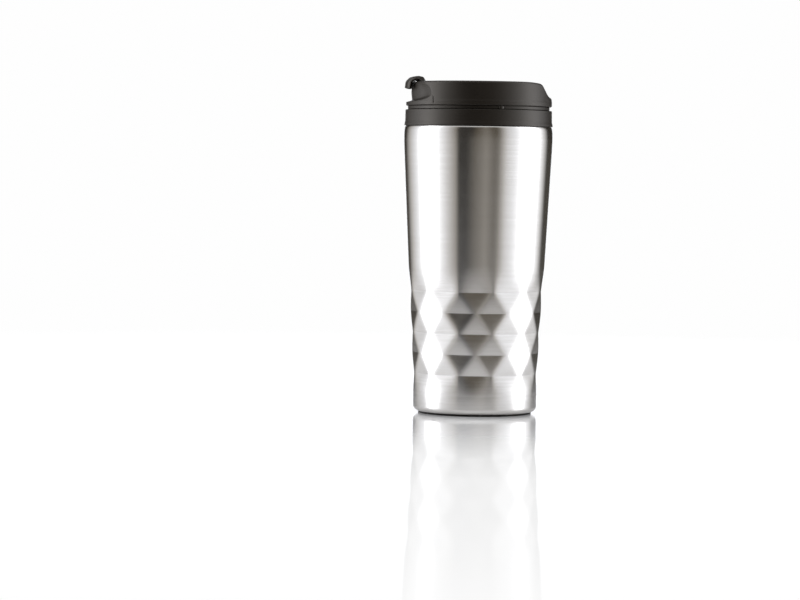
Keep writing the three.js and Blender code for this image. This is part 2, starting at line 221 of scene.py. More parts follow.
def revolve(outline, sides=192):
    """Turns a counterclockwise [radius, height] outline about Z. An outline whose ends lie on the
    axis is closed with poles, and any other is closed on itself."""
    outline = np.asarray(outline, float)
    poles = outline[0, 0] < 1e-6
    body = outline[1:-1] if poles else outline
    angle = np.linspace(0, 2 * math.pi, sides, endpoint=False)
    vertices = ring_points(body[:, :1], angle, body[:, 1:])
    faces = grid_faces(len(body), sides, wrap_rows=not poles)
    if poles:
        return close_ends(vertices, faces, sides, [0, 0, outline[0, 1]], [0, 0, outline[-1, 1]])
    return vertices, outward(vertices, faces)


def build_turned(name, corners, material, body, replaced, sides=192, shape=None):
    """A piece turned about Z from an outline with rounded corners. shape changes its vertices."""
    vertices, faces = revolve(rounded(corners), sides)
    if shape:
        vertices = shape(vertices)
    return build_mesh(name, vertices, outward(vertices, faces), material, body, replaced)


def degrees_from_x(x, y):
    """Degrees round the axis from the +X side, counted the same to both sides."""
    return np.degrees(np.arctan2(np.abs(y), x))


LUG_AZIMUTH, LUG_HEIGHT, NECK_INNER_R = 72.0, 0.75, 37.0


def with_lugs(vertices):
    """Two small locating lugs on the neck, at the same azimuth either side of +X: each pushes the
    neck's outer wall out along a flat-topped bump over the distance round the neck."""
    x, y, z = vertices.T
    r = np.hypot(x, y)
    off = np.radians(np.abs(degrees_from_x(x, y) - LUG_AZIMUTH)) * r
    push = LUG_HEIGHT * (1 - smooth(0.8, 1.3, off)) * (r > NECK_INNER_R)
    grow = 1 + push / np.maximum(r, 1.0)
    return np.stack([x * grow, y * grow, z], -1)


def outward(vertices, faces):
    """The faces as they are if they enclose a positive volume, and turned round if not."""
    vertices = np.asarray(vertices)
    volume = 0.0
    for size in (3, 4):
        group = np.array([f for f in faces if len(f) == size], int)
        for k in range(1, size - 1) if len(group) else ():
            a, b, c = (vertices[group[:, n]] for n in (0, k, k + 1))
            volume += float(np.einsum("ij,ij->i", a, np.cross(b, c)).sum())
    return faces if volume > 0 else [f[::-1] for f in faces]


# ------------------------------------------------------------------ materials


def linear(hex_code):
    """An sRGB hex colour as linear RGBA."""
    parts = [int(hex_code[k : k + 2], 16) / 255 for k in (0, 2, 4)]
    return [c / 12.92 if c <= 0.04045 else ((c + 0.055) / 1.055) ** 2.4 for c in parts] + [1.0]


def add(tree, kind, settings=None, **links):
    """Adds a shader node, sets its properties and unlinked inputs, and links the named inputs.

    Settings whose key starts with "." are node properties. An unlinked input is given by its name
    or number, and a link by its input's name, or by its number as in1, and the socket that feeds it."""
    node = tree.nodes.new("ShaderNode" + kind)
    for key, value in (settings or {}).items():
        if key.startswith("."):
            setattr(node, key[1:], value)
        else:
            node.inputs[int(key) if key.isdigit() else key].default_value = value
    for key, source in links.items():
        socket = node.inputs[int(key[2:]) if key.startswith("in") else key.replace("_", " ")]
        tree.links.new(source, socket)
    return node


def feed(tree, shader, **sources):
    """Links each source to the shader's input of that name."""
    for name, source in sources.items():
        tree.links.new(source, shader.inputs[name.replace("_", " ")])


def new_material(name, **principled):
    """A material with one Principled BSDF whose uniform values are set on its own sockets."""
    material = bpy.data.materials.new(name)
    material.use_nodes = True
    tree = material.node_tree
    tree.nodes.clear()
    values = {key.replace("_", " "): value for key, value in principled.items()}
    shader = add(tree, "BsdfPrincipled", values)
    add(tree, "OutputMaterial", Surface=shader.outputs[0])
    return material, tree, shader


def scaled_object_coords(tree, scale):
    """Object coordinates stretched by a scale in 1/m on each axis."""
    coords = add(tree, "TexCoord").outputs["Object"]
    return add(tree, "VectorMath", {".operation": "MULTIPLY", "1": scale}, in0=coords).outputs[0]


def grain(tree, scale, detail=3.0, roughness=0.55):
    """Noise whose features are 1/scale metres long on each axis."""
    coords = scaled_object_coords(tree, scale)
    settings = {".noise_dimensions": "3D", "Scale": 1.0, "Detail": detail, "Roughness": roughness}
    return add(tree, "TexNoise", settings, Vector=coords).outputs["Fac"]


def remap(tree, value, low, high, start=0.3, stop=0.7):
    """Spreads a noise value between start and stop over low to high."""
    settings = {"From Min": start, "From Max": stop, "To Min": low, "To Max": high}
    return add(tree, "MapRange", settings, Value=value).outputs[0]


def blend(tree, low, high, share):
    """A colour from low to high, by a share from 0 to 1."""
    return add(tree, "Mix", {".data_type": "RGBA", "6": low, "7": high}, in0=share).outputs[2]


def total(tree, a, b):
    """The sum of two values."""
    return add(tree, "Math", {".operation": "ADD"}, in0=a, in1=b).outputs[0]


def brushed_stainless(settings):
    """Stainless steel sheet, belt-brushed around the body: grooves about 0.1 mm apart run level, so
    highlights smear up and down and stay sharp sideways. The grooves are drawn a little coarser
    than real, 0.25 mm, so that they show at arm's length."""
    material, tree, shader = new_material(
        "brushed_stainless_304",
        Metallic=1.0,
        Anisotropic=settings.steel_anisotropy,
        Anisotropic_Rotation=0.25,
    )
    fine = grain(tree, (22.0, 22.0, 5200.0), detail=2.0)
    broad = grain(tree, (14.0, 14.0, 2100.0), detail=4.0)
    mottle = grain(tree, (40.0, 40.0, 60.0), detail=2.0)
    streak = remap(tree, broad, 0.0, 1.0, 0.35, 0.65)
    colour = blend(tree, linear(settings.steel_dark), linear(settings.steel_light), streak)
    mean = settings.steel_roughness
    rough = total(tree, remap(tree, fine, mean - 0.02, mean + 0.02), remap(tree, mottle, -0.01, 0.01))
    tangent = add(tree, "Tangent", {".direction_type": "RADIAL", ".axis": "Z"}).outputs[0]
    bump = add(tree, "Bump", {"Strength": 0.035, "Distance": 0.00004}, Height=fine).outputs[0]
    feed(tree, shader, Base_Color=colour, Roughness=rough, Tangent=tangent, Normal=bump)
    return material


WARM = (1.0, 0.93, 0.84, 1.0)


def moulded_plastic(name, colour, roughness, texture_mm, strength, level):
    """Injection-moulded plastic or rubber: a satin skin whose spark-eroded texture scatters light
    into broad soft highlights. texture_mm is the pitch of that texture."""
    material, tree, shader = new_material(name, Specular_IOR_Level=level, IOR=1.49, Specular_Tint=WARM)
    pitch = 1.0 / (texture_mm * MM)
    erosion = grain(tree, (pitch, pitch, pitch), detail=2.0, roughness=0.6)
    cloud = grain(tree, (55.0, 55.0, 55.0), detail=2.0)
    tone = linear(colour)
    deep = [c * 0.82 for c in tone[:3]] + [1.0]
    rough_cloud = remap(tree, cloud, roughness - 0.03, roughness + 0.03)
    rough = total(tree, rough_cloud, remap(tree, erosion, -0.03, 0.03))
    settings = {"Strength": strength, "Distance": texture_mm * MM * 0.35}
    bump = add(tree, "Bump", settings, Height=erosion).outputs[0]
    mixed = blend(tree, deep, tone, remap(tree, cloud, 0, 1))
    feed(tree, shader, Base_Color=mixed, Roughness=rough, Normal=bump)
    return material


def drawn_wire_steel():
    """Stainless pin wire: bright, with fine draw lines along its length, which is Y."""
    material, tree, shader = new_material("drawn_stainless_wire", Metallic=1.0)
    lines = grain(tree, (3000.0, 120.0, 3000.0), detail=2.0)
    tone = blend(tree, linear("a9a7a4"), linear("cfcecc"), remap(tree, lines, 0, 1))
    feed(tree, shader, Base_Color=tone, Roughness=remap(tree, lines, 0.18, 0.34))
    return material


# How much of the table is there, by distance from the mug's axis in metres: it thins out into the
# white sweep around it.
TABLE_FADE = ((0.0, 1.0), (0.09, 1.0), (0.15, 0.74), (0.25, 0.4), (0.36, 0.22), (0.6, 0.18), (0.84, 0.0))


def glossy_table(settings):
    """Cast acrylic sheet, opal white: a white body under a clear polished skin, whose reflection
    grows towards grazing angles. It fades into the sweep with distance."""
    material, tree, shader = new_material("opal_cast_acrylic", IOR=1.49)
    haze = grain(tree, (6.0, 6.0, 6.0), detail=2.0)
    tone = blend(tree, linear("ededee"), linear(settings.table_colour), remap(tree, haze, 0, 1))
    feed(tree, shader, Base_Color=tone, Roughness=remap(tree, haze, 0.03, 0.05))
    coords = add(tree, "TexCoord").outputs["Object"]
    away = add(tree, "VectorMath", {".operation": "LENGTH"}, in0=coords)
    fade = add(tree, "ValToRGB", Fac=away.outputs["Value"])
    stops = fade.color_ramp.elements
    for at, share in TABLE_FADE:
        stop = stops.new(at)
        stop.color = [share] * 3 + [1.0]
    stops.remove(stops[0])
    stops.remove(stops[-1])
    clear = add(tree, "BsdfTransparent").outputs[0]
    mixed = add(tree, "MixShader", in0=fade.outputs[0], in1=clear, in2=shader.outputs[0])
    output = next(n for n in tree.nodes if n.type == "OUTPUT_MATERIAL")
    tree.links.new(mixed.outputs[0], output.inputs["Surface"])
    return material


def get_material(name, make, *given):
    """The material of that name, made if it isn't there yet."""
    return bpy.data.materials.get(name) or make(*given)


def steel(settings):
    """The brushed steel of the shell."""
    return get_material("brushed_stainless_304", brushed_stainless, settings)


def pin_steel():
    """The bright wire of the hinge pin."""
    return get_material("drawn_stainless_wire", drawn_wire_steel)


def moulded(name, *finish):
    """The moulded material of that name, made once."""
    return get_material(name, moulded_plastic, name, *finish)


def black_plastic(settings):
    """Satin black polypropylene: near black, with a soft warm sheen towards its edges."""
    return moulded("satin_black_polypropylene", settings.plastic_colour, 0.42, 0.35, 0.12, 0.4)


def liner_plastic():
    """Smoother black polypropylene of the cup, which gives a tighter highlight."""
    return moulded("smooth_black_polypropylene", "23211f", 0.34, 0.9, 0.05, 0.5)


def silicone_rubber():
    """Dark brown-grey silicone, softer in its highlights than the plastic."""
    return moulded("dark_silicone_rubber", "2e2925", 0.58, 0.6, 0.06, 0.4)


def pad_rubber():
    """Matte black foot rubber, with hardly any highlight."""
    return moulded("matte_foot_rubber", "1c1b1a", 0.82, 0.5, 0.3, 0.3)


# ------------------------------------------------------------------ steel shell

TAPER_FROM, TAPER_TO = 10.6, 142.0
BASE_RADIUS, TAPER = 33.4, 0.05
TAPER_TOP_R = BASE_RADIUS + TAPER * (TAPER_TO - TAPER_FROM)
FACET_TOP, FACET_STEP, FACET_ROWS = 77.0, 11.07, 6
FACET_COLUMNS = 12
RIDGE_ROUNDING, CORNER_PRESS = 0.5, 0.4
# How far past the end valleys the pressing reaches, and the power it fades by.
RUN_OUT_ABOVE, RUN_OUT_BELOW, RUN_OUT_POWER = 14.0, 11.0, 1.6
HALF_COLUMN = math.pi / FACET_COLUMNS
SHOULDER_Z, SHOULDER_R = 148.5, 40.15
SHELL_TOP_R = 39.6
BASE_OPENING_R, SHEET, BASE_CORNER = 28.5, 0.6, 3.3
BASE_DROP, BAND_CLEARANCE = 0.4, 2.0


def shell_radius(z):
    """Smooth wall: upright, then a straight taper, then a rounded shoulder drawn in to the top."""
    straight = BASE_RADIUS + TAPER * (np.clip(z, TAPER_FROM, TAPER_TO) - TAPER_FROM)
    top = hermite(
        [(TAPER_TO, TAPER_TOP_R), (SHOULDER_Z, SHOULDER_R), (152.2, 40.0), (SHELL_HIGH.z, SHELL_TOP_R)],
        np.maximum(z, TAPER_TO),
    )
    return np.where(z > TAPER_TO, top, straight)


def facet_radius(azimuth, z):
    """Radius of the pressed band, a folded cylinder. Its corners lie on rings one step apart, each
    ring turned half a column from the next, and the level edge between two corners of a ring is
    the chord, which makes a valley. Between two rings a corner travels along a slanting ridge, and
    the wall at any height is the nearer of the two flat faces that meet at that ridge. Ridges are
    rounded and corners pressed in a little. Past the first and the last valley the pressing of
    that valley fades out as a power of the distance left."""
    step = (FACET_TOP - z) / FACET_STEP
    held = np.clip(step, 1.0, FACET_ROWS - 1.0)
    row = np.clip(np.floor(held), 1, FACET_ROWS - 2)
    t = held - row
    plain = shell_radius(FACET_TOP - held * FACET_STEP)
    upper_r = shell_radius(FACET_TOP - row * FACET_STEP)
    lower_r = shell_radius(FACET_TOP - (row + 1) * FACET_STEP)
    # The upper ring of an even row has a corner at azimuth 0, and of an odd row half a column off.
    turned = azimuth + np.where(row % 2 == 0, 0.0, HALF_COLUMN)
    local = np.mod(turned + HALF_COLUMN, 2 * HALF_COLUMN) - HALF_COLUMN
    offset = np.abs(local)
    ridge_x = (1 - t) * upper_r + t * lower_r * math.cos(HALF_COLUMN)
    ridge_y = t * lower_r * math.sin(HALF_COLUMN)
    near_face = ridge_x / np.cos(offset)
    far_distance = ridge_x * math.cos(HALF_COLUMN) + ridge_y * math.sin(HALF_COLUMN)
    far_face = far_distance / np.cos(HALF_COLUMN - offset)
    folded = soft_min(near_face, far_face, RIDGE_ROUNDING)
    pressed = plain - soft_min(folded, plain - CORNER_PRESS, RIDGE_ROUNDING)
    left_above = 1 - (held - step) * FACET_STEP / RUN_OUT_ABOVE
    left_below = 1 - (step - held) * FACET_STEP / RUN_OUT_BELOW
    left = np.clip(np.minimum(left_above, left_below), 0.0, 1.0)
    return shell_radius(z) - pressed * left**RUN_OUT_POWER


def shell_heights():
    """Levels of the outer wall: one at each valley and one close above and below it, fifteen even
    levels between valleys, and wider steps on the smooth wall."""
    band = []
    for row in range(FACET_ROWS):
        top = FACET_TOP - row * FACET_STEP
        inner = top - np.linspace(0.35, FACET_STEP - 0.35, 15)
        band += [top, top - 0.12, *inner, top - FACET_STEP + 0.12]
    band.append(FACET_TOP - FACET_ROWS * FACET_STEP)
    smooth_wall = np.linspace(FACET_TOP + 1.2, TAPER_TO, 40)
    shoulder = np.linspace(TAPER_TO + 1, SHELL_HIGH.z - 0.3, 14)
    return np.array(sorted({*np.round(band, 4), *np.round(smooth_wall, 4), *np.round(shoulder, 4)}))


def shell_surface(sides=432):
    """Rows go up the outside from the rim of the base opening, over the top edge and back down the
    inside, and each row is a ring of radii over azimuth. The inside clears the pressed band."""
    floor = SHELL_LOW.z - BASE_DROP
    band_top = FACET_TOP - FACET_STEP + RUN_OUT_ABOVE
    azimuth = np.linspace(0, 2 * math.pi, sides, endpoint=False)
    ones = np.ones(sides)
    rows = [(BASE_OPENING_R * ones, floor), (29.4 * ones, floor)]
    for a in np.radians(np.linspace(0, 84, 12)):
        r = BASE_RADIUS - BASE_CORNER + BASE_CORNER * math.sin(a)
        rows.append((r * ones, floor + BASE_CORNER - BASE_CORNER * math.cos(a)))
    for z in shell_heights():
        r = shell_radius(z) * ones
        if FACET_TOP - FACET_ROWS * FACET_STEP <= z <= band_top:
            r = facet_radius(azimuth, z)
        rows.append((r, z))
    top = SHELL_HIGH.z
    for a in np.radians(np.linspace(15, 165, 6)):
        r = SHELL_TOP_R - SHEET / 2 + SHEET / 2 * math.cos(a)
        rows.append((r * ones, top - SHEET / 2 + SHEET / 2 * math.sin(a)))
    inside = [(z, SHEET) for z in (top - 1, 150, 142, 110, FACET_TOP + 2)]
    inside += [(z, BAND_CLEARANCE) for z in (FACET_TOP - 6, 40, 12, 5.5)]
    for z, inset in inside:
        rows.append(((shell_radius(np.array(z)) - inset) * ones, z))
    rows += [(30.5 * ones, floor + SHEET), (BASE_OPENING_R * ones, floor + SHEET)]
    radius = np.array([r for r, _ in rows])
    height = np.array([[z] for _, z in rows])
    vertices = ring_points(radius, azimuth, height)
    return vertices, outward(vertices, grid_faces(len(rows), sides, wrap_rows=True))


# ------------------------------------------------------------------ lid body

CHANNEL_WIDEST, CHANNEL_AT, CHANNEL_FALL = 19.0, 6.8, 0.003144
TAB_WALL_R, TAB_WALL_TOP = 33.8, 177.6
DECK = 169.0
LIP_HEIGHT = 170.4
POCKET_X, POCKET_FLOOR = 13.0, 158.2
POCKET_WALL, POCKET_ROUND, WELL_ROUND = 1.6, 2.2, 2.2
SCOOP_Z, SCOOP_HALF = 171.0, 49.5
SEAM_AT = 52.0
BOWL_START = 4.2
# Radii on the lid: the guide circle just inside the wall, the bowl's end, and the underside's recess.
GUIDE_R, BOWL_END_R, RECESS_R = 38.0, 37.4, 31.0
SIP_X, SIP_HALF_X, SIP_HALF_Y = -21.5, 4.6, 8.0


def channel_half(x):
    """Half-width of the barrel-shaped channel: a parabola, widest near the lid's centre."""
    return CHANNEL_WIDEST - CHANNEL_FALL * (x - CHANNEL_AT) ** 2


def crest_height(y, x):
    """Height of the rim's crest: level all round, except at +X, where it falls over the crescent
    tips to the low drinking lip, as a curve through heights set at distances from the middle."""
    tips = [
        (0, LIP_HEIGHT), (7.2, LIP_HEIGHT + 0.15), (10, 171.5), (12.8, 173.1), (15.3, 175.0),
        (17.3, 176.7), (19, 177.25), (22, 177.55), (26, 177.8), (30, RIM), (60, RIM),
    ]
    return RIM - (RIM - hermite(tips, np.abs(y))) * smooth(10.0, 20.0, x)


def scoop_depth(x, y, z):
    """How far the thumb scoop is pressed into the outer wall: a squarish oval field over azimuth
    and height, deepest at its foot, with a short fillet at its edge that makes a ledge below it."""
    from_tab = degrees_from_x(-x, y)
    half_height = np.where(z < SCOOP_Z, 4.0, 8.2)
    q = (from_tab / SCOOP_HALF) ** 2.6 + (np.abs(z - SCOOP_Z) / half_height) ** 2.6
    depth = 2.2 + 0.8 * (1 - smooth(166.5, 173.0, z))
    ramp = np.clip((1 - q) / 0.5, 0, 1.2)
    return depth * np.clip(soft_min(ramp, 1.0, 0.3), 0, 1)


def parting_groove(x, y, z):
    """Depth of the short upright witness line beside the scoop's end."""
    from_tab = degrees_from_x(-x, y)
    line = SEAM_AT + 0.3 * (167.4 - z)
    across = np.clip(1 - np.abs(from_tab - line) / 0.6, 0, 1)
    return 0.28 * across * smooth(165.6, 166.4, z) * (1 - smooth(168.6, 170.6, z))


def wall_radius(x, y, z):
    """Outer wall at a height, less the scoop, plus the rolled drinking lip at +X."""
    plain = hermite(
        [(165.0, 38.75), (165.35, 39.1), (166.9, 39.12), (168.2, 38.82), (172.0, 38.6), (177.4, 38.2)],
        z,
    )
    lip = 1 - smooth(12.0, 24.0, degrees_from_x(x, y))
    bulge = lip * np.clip(39.35 - plain, 0, 1) * smooth(164.9, 166.0, z) * (1 - smooth(167.2, 171.4, z))
    return plain + bulge - scoop_depth(x, y, z) - parting_groove(x, y, z)


def quarter_round(distance, width):
    """How far a rounded edge lies below its flat top at a distance from its side, as a share of
    width: a quarter circle."""
    left = 1 - np.clip(distance / width, 0, 1)
    return 1 - np.sqrt(np.clip(1 - left**2, 0, 1))


def tab_sector(x, y):
    """1 in the sector that the tab hooks over, and 0 beyond it."""
    return (1 - smooth(0.2, 1.6, np.abs(y) - channel_half(x))) * (x < 0)


def crescent_height(x, y):
    """Top of the raised parts: a rounded rim, then a dished floor that rises a little to the
    channel's edge. In the tab's sector it is the flat top of the low wall that the tab hooks over."""
    r = np.hypot(x, y)
    pull = wall_radius(x, y, np.full_like(x, 177.4))
    shifted = r + (38.2 - pull) * smooth(31.0, 36.0, r)
    rim = hermite(
        [
            (17.0, 176.0), (19.5, 175.9), (23.0, 175.2), (27.5, 174.5), (31.5, 174.5), (33.9, 175.0),
            (34.9, 175.8), (35.5, 177.0), (36.1, 177.7), (36.7, RIM), (39.0, RIM),
        ],
        shifted,
    )
    low_wall = TAB_WALL_TOP - 0.5 * quarter_round(r - TAB_WALL_R, 0.6)
    over_tab = tab_sector(x, y)
    top = rim * (1 - over_tab) + low_wall * over_tab
    drop = RIM - crest_height(y, x)
    return top - drop * smooth(31.0, 35.0, r)


def floor_height(x, y, fillet=2.6):
    """Bottom of the channel: a flat deck under the flap, and beyond the hinge a bowl that climbs
    to the drinking lip and to the crescent tips, with a fillet along its side walls."""
    r = np.hypot(x, y)
    bowl = hermite(
        [
            (0, 164.8), (19.0, 164.8), (24.0, 165.3), (28.0, 166.4), (31.5, 167.9), (34.5, 169.5),
            (36.4, 170.4), (BOWL_END_R, LIP_HEIGHT), (40, LIP_HEIGHT),
        ],
        r,
    )
    lift = (crest_height(y, x) - LIP_HEIGHT) * smooth(30.5, 37.6, r)
    side = channel_half(x) - np.abs(y)
    ring = smooth(20.0, 30.0, r) * (1 - smooth(30.5, 35.5, r))
    sweep = fillet * (1 - smooth(0.0, 4.5, side)) ** 2 * ring
    cove = smooth(BOWL_START - 0.6, BOWL_START + 0.6, x)
    return DECK * (1 - cove) + (bowl + lift + sweep) * cove


def pocket_edge(angle):
    """Distance from the pocket's centre to its rounded six-sided rim: a soft minimum of the
    distances to its sides along a ray."""
    side_normals = [(180.0, 8.6), (0.0, 9.8), (76.0, 15.4), (-76.0, 15.4), (36.0, 12.6), (-36.0, 12.6)]
    least, farthest = 0.05, 60.0
    reach = np.full_like(angle, farthest)
    for normal, distance in side_normals:
        facing = np.cos(angle - math.radians(normal))
        hit = np.where(facing > least, distance / np.maximum(facing, least), farthest)
        reach = soft_min(reach, hit, POCKET_ROUND)
    return reach


def ray_to_circle(angle, radius):
    """Distance along a ray from the pocket's centre to a circle about the lid's axis."""
    return -POCKET_X * np.cos(angle) + np.sqrt(radius**2 - (POCKET_X * np.sin(angle)) ** 2)


def ray_to_channel(angle):
    """Distance along a ray from the pocket's centre to the channel's side wall or its rounded
    ends: the root of |y| = half-width(x), found by twelve Newton steps."""
    c, s = np.cos(angle), np.abs(np.sin(angle))
    t = np.full_like(angle, 18.0)
    for _ in range(12):
        x = POCKET_X + t * c
        error = t * s - channel_half(x)
        slope = s + 2 * CHANNEL_FALL * (x - CHANNEL_AT) * c
        t = np.clip(t - error / np.where(np.abs(slope) < 0.05, 0.05, slope), 1.0, 90.0)
    t = np.where(s < 0.02, 90.0, t)
    end = np.where(c < 0, ray_to_circle(angle, TAB_WALL_R), ray_to_circle(angle, BOWL_END_R))
    return np.minimum(t, end)


def lid_surface(sides=480):
    """One closed surface of rings around the pocket's centre. From the inside out the rings follow
    the pocket's floor and rim, the channel's floor, its wall, the dish, the rim, the outer wall
    down to its foot, and the underside back in. On top each ring's height comes from the floor and
    crescent heights, blended across the channel's edge, and on the outer wall its radius does."""
    even = np.linspace(0, 2 * math.pi, sides, endpoint=False)
    seam = math.radians(SEAM_AT)
    towards = math.atan2(38.9 * math.sin(seam), -38.9 * math.cos(seam) - POCKET_X)
    close = np.radians(np.arange(-1.2, 1.21, 0.2) + 0.07)
    angle = np.sort(np.mod(np.concatenate([even, towards + close, -towards - close]), 2 * math.pi))
    sides = len(angle)
    c, s = np.cos(angle), np.sin(angle)
    edge = ray_to_channel(angle)
    pocket = np.minimum(pocket_edge(angle), edge - 0.8)
    guide = ray_to_circle(angle, GUIDE_R)
    guide_x, guide_y = POCKET_X + guide * c, guide * s

    def rim_ray(z):
        """Distance along each ray to the outer wall at a height, found in six steps."""
        t = guide
        for _ in range(6):
            x, y = POCKET_X + t * c, t * s
            t = ray_to_circle(angle, wall_radius(x, y, z))
        return t

    over_tab = tab_sector(guide_x, guide_y)
    crest = crest_height(guide_y, guide_x) - (RIM - TAB_WALL_TOP) * over_tab
    roll = 1.3 - 0.5 * over_tab + 0.5 * smooth(34.0, 37.0, guide_x)
    wall_top = crest - roll
    outer = rim_ray(wall_top)
    rim_start = outer - roll
    edge = np.minimum(edge, rim_start - 0.35)

    def top_height(t):
        """Height of the top face at a distance along each ray."""
        x, y = POCKET_X + t * c, t * s
        inside = edge - t
        climb = smooth(-0.11, 0.11, -inside)
        low = floor_height(x, y)
        depth = np.clip((pocket - t) / WELL_ROUND, 0, 1)
        well = POCKET_FLOOR + (low - POCKET_FLOOR) * (1 - smooth(0.0, 1.0, depth) ** 0.9)
        low = np.where(t < pocket, well, low)
        high = crescent_height(x, y) - 0.35 * quarter_round(-inside, 0.35)
        high = np.maximum(high, floor_height(x, y, fillet=0.0))
        return low * (1 - climb) + high * climb

    well_r, deck = np.maximum(pocket - WELL_ROUND, 0.5), edge - 0.3 - pocket
    dish_start = np.minimum(edge + 0.8, rim_start)
    dish = rim_start - dish_start
    gaps = (-0.3, -0.11, -0.066, -0.022, 0.022, 0.066, 0.11, 0.16, 0.24, 0.35, 0.55)
    radii = [well_r * f for f in np.linspace(0.08, 1, 8)]
    radii += [pocket - WELL_ROUND * (1 - f) for f in np.linspace(0.08, 1.0, 13)]
    radii += [pocket + deck * f for f in (*np.linspace(0.02, 0.9, 22), 0.95, 0.98)]
    radii += [np.minimum(edge + gap, rim_start) for gap in gaps]
    radii += [dish_start + dish * (1 - (1 - f) ** 1.5) for f in np.linspace(0, 1, 34)]
    heights = [top_height(t) for t in radii]
    heights[-1] = crest
    for a in np.radians(np.linspace(12, 90, 8)):
        radii.append(outer - roll * (1 - math.sin(a)))
        heights.append(wall_top + roll * math.cos(a))
    for f in np.linspace(0.04, 1, 30):
        z = wall_top + (LID_BOTTOM - wall_top) * f
        radii.append(rim_ray(z))
        heights.append(z)
    inner = ray_to_circle(angle, RECESS_R)
    radii += [ray_to_circle(angle, 38.2), ray_to_circle(angle, 34.5), inner]
    heights += [np.full(sides, LID_BOTTOM)] * 3
    roof, bowl_roof, tub = DECK - 1.8, 163.0, POCKET_FLOOR - POCKET_WALL

    def under_height(t):
        """Height of the underside at a distance along each ray, outside the pocket's tub."""
        beyond = smooth(BOWL_START - 2.4, BOWL_START - 1.2, POCKET_X + t * c)
        base = roof * (1 - beyond) + bowl_roof * beyond
        return np.where(t < pocket + POCKET_WALL, tub, base)

    span = np.maximum(inner - 4.0, pocket + 1.66) - pocket - 1.65
    below = [np.maximum(inner - gap, pocket + 1.65) for gap in (0.05, 0.6, 4.0)]
    below += [pocket + 1.65 + span * f for f in (0.75, 0.5, 0.25, 0.1, 0.0)]
    radii += below
    heights += [under_height(t) for t in below]
    radii += [pocket + 1.55, pocket + 0.5, pocket * 0.4]
    heights += [np.full(sides, tub)] * 3
    t = np.array(radii)
    z = np.array(heights)
    vertices = np.stack([POCKET_X + t * c, t * s, z], -1).reshape(-1, 3)
    faces = grid_faces(len(t), sides)
    return close_ends(vertices, faces, sides, [POCKET_X, 0, POCKET_FLOOR], [POCKET_X, 0, tub])


def cut_sip_hole(lid):
    """Cuts the oval sip hole through the deck: the Boolean difference with an upright oval column,
    applied to the mesh, whose edges of more than 40 degrees are then left sharp."""
    outline = [(0, DECK - 6), (1, DECK - 6), (1, DECK + 1.5), (0, DECK + 1.5)]
    vertices, faces = revolve(outline, sides=96)
    vertices = vertices * [SIP_HALF_X, SIP_HALF_Y, 1] + [SIP_X, 0, 0]
    cutter = add_mesh("sip_hole_column", vertices, faces)
    column = cutter.data
    modifier = lid.modifiers.new("sip_hole", "BOOLEAN")
    modifier.operation = "DIFFERENCE"
    modifier.solver = "EXACT"
    modifier.object = cutter
    whole = lid.data
    cut = bpy.data.meshes.new_from_object(lid.evaluated_get(bpy.context.evaluated_depsgraph_get()))
    lid.modifiers.remove(modifier)
    lid.data = cut
    cut.name = "lid_body"
    bpy.data.objects.remove(cutter)
    bpy.data.meshes.remove(column)
    bpy.data.meshes.remove(whole)
    cut.set_sharp_from_angle(angle=math.radians(40))
    if len(cut.polygons) < 1000:
        raise RuntimeError("the sip hole could not be cut")


# ------------------------------------------------------------------ flap

FLAP_GAP = 0.4
BARREL_R = 3.2
TONGUE_BOTTOM = 173.2
# Thumb recess: its reach from the hinge ridge and half-width, the step down at its edge, the dish
# below that step, and the raised line round it.
THUMB_REACH, THUMB_HALF = 22.6, 15.6
THUMB_STEP, THUMB_DISH, THUMB_LIP = 1.0, 0.35, 0.16


def flap_path():
    """Paired points of the plate's upper and lower face, from the nose of the hinge barrel over
    the tongue to the tip of the finger tab, as (radial distance towards the tab, height). The
    barrel is a circle, and the tab is an arch that goes over the lid's wall and down outside it."""
    upper, lower = [], []
    for a in np.radians(np.linspace(0, 112, 15)):
        upper.append((-HINGE_X - BARREL_R * math.cos(a), HINGE_Z + BARREL_R * math.sin(a)))
        under = a * 0.86
        lower.append((-HINGE_X - BARREL_R * math.cos(under), HINGE_Z - BARREL_R * math.sin(under)))
    tongue = np.linspace(2.2, 30.8, 50)
    tongue_top = hermite(
        [(0.4, 176.9), (1.6, 176.45), (3.2, 175.95), (6.0, 175.75), (14.0, 175.7), (20.0, 175.95),
         (23.2, 176.15), (25.6, 175.85), (28.8, 175.95), (30.2, 176.15), (31.0, 176.6)],
        tongue,
    )
    tongue_low = hermite(
        [(1.5, 171.3), (2.4, 172.2), (3.6, 173.0), (5.0, TONGUE_BOTTOM), (40.0, TONGUE_BOTTOM)],
        tongue,
    )
    upper += list(zip(tongue, tongue_top))
    lower += list(zip(tongue, tongue_low))
    arch_top = rounded(
        [(31.0, 176.5, 0), (31.7, 178.3, 0.8), (32.6, 180.2, 1.1), (34.8, 180.78, 2.0), (37.4, 180.25, 3.0),
         (39.6, 178.0, 3.0), (40.0, 174.6, 0)],
        steps=9,
    )[1:]
    arch_low = rounded(
        [(31.0, TONGUE_BOTTOM, 0), (32.7, TONGUE_BOTTOM, 0.6), (33.1, 177.2, 1.0), (34.2, 178.85, 1.0),
         (36.2, 178.75, 1.6), (37.6, 177.5, 1.6), (38.1, 174.6, 0)],
        steps=9,
    )[1:]
    for line, source in ((upper, arch_top), (lower, arch_low)):
        steps = np.concatenate([[0], np.cumsum(np.linalg.norm(np.diff(source, axis=0), axis=1))])
        at = np.linspace(0, steps[-1], 56)
        line += list(zip(np.interp(at, steps, source[:, 0]), np.interp(at, steps, source[:, 1])))
    tip = [(39.05, 174.2)]
    return np.array(upper + tip), np.array(lower + tip)


